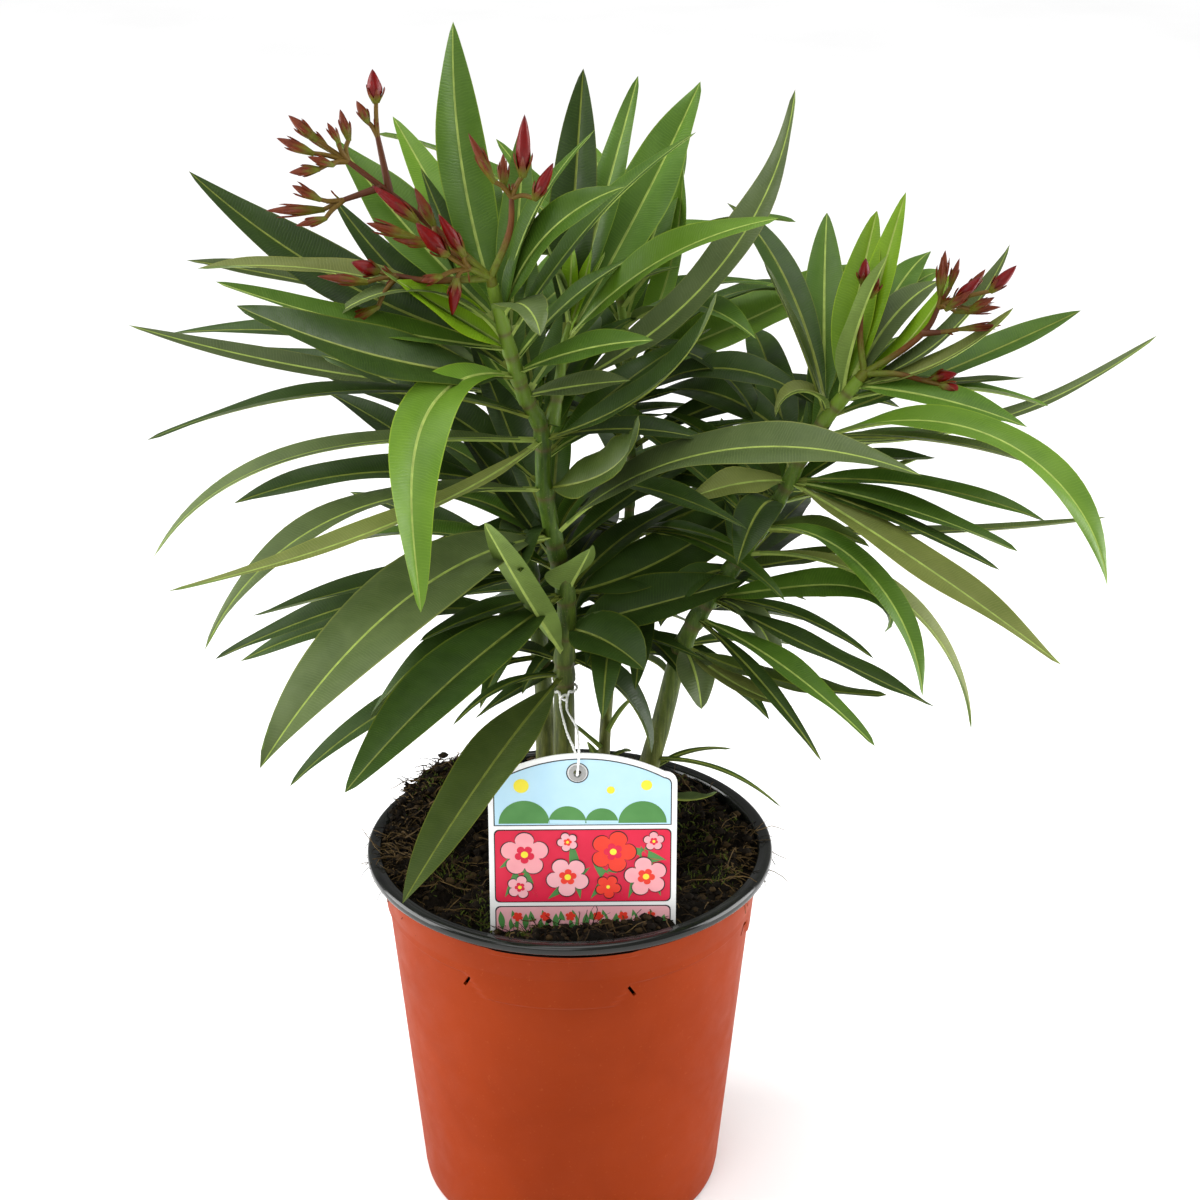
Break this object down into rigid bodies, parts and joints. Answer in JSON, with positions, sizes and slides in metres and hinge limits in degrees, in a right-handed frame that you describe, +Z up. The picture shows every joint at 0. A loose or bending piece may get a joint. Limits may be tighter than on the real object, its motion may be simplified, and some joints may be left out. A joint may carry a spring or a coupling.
{
  "type": "potted oleander",
  "caption": "Bushy young oleander shrub with whorled lance-shaped leaves and red flower buds, in a round two-colour nursery pot of peat, with a tied-on label.",
  "frame": {"origin": "middle of the pot's flat underside, on the surface that it stands on", "axes": "+Z up; -Y is the plant's front, where its label hangs; +X to the right seen from the front"},
  "size_m": [0.4128, 0.3328, 0.5033],
  "materials": {
    "terracotta_plastic": "terracotta-orange moulded plastic, matt with a faint mottle",
    "dark_plastic": "black-green glossy plastic of the rolled rim and inner wall",
    "peat": "dark fibrous peat with moss and straw",
    "green_stem": "smooth green stems, browner at the foot",
    "foliage": "leathery satin leaves, dark to bright green, with a pale midrib",
    "buds": "crimson buds in brown-green calyces",
    "label_card": "glossy printed card",
    "eyelet_metal": "dull grey",
    "elastic": "white elastic thread"
  },
  "bodies": {
    "root": {"pot": "terracotta_plastic", "pot_rim": "dark_plastic", "soil": "peat", "stem_left": "green_stem", "stem_young": "green_stem", "stem_back": "green_stem", "stem_middle": "green_stem", "stem_right": "green_stem", "leaves_left_low": "foliage", "leaves_left_mid": "foliage", "leaves_left_top": "foliage", "leaves_young_low": "foliage", "leaves_back_low": "foliage", "leaves_back_top": "foliage", "leaves_middle_low": "foliage", "leaves_middle_top": "foliage", "leaves_right_low": "foliage", "leaves_right_mid": "foliage", "leaves_right_top": "foliage", "buds_left": "buds", "buds_right": "buds", "label": "label_card", "eyelet": "eyelet_metal", "label_tie": "elastic"}
  },
  "joints": []
}
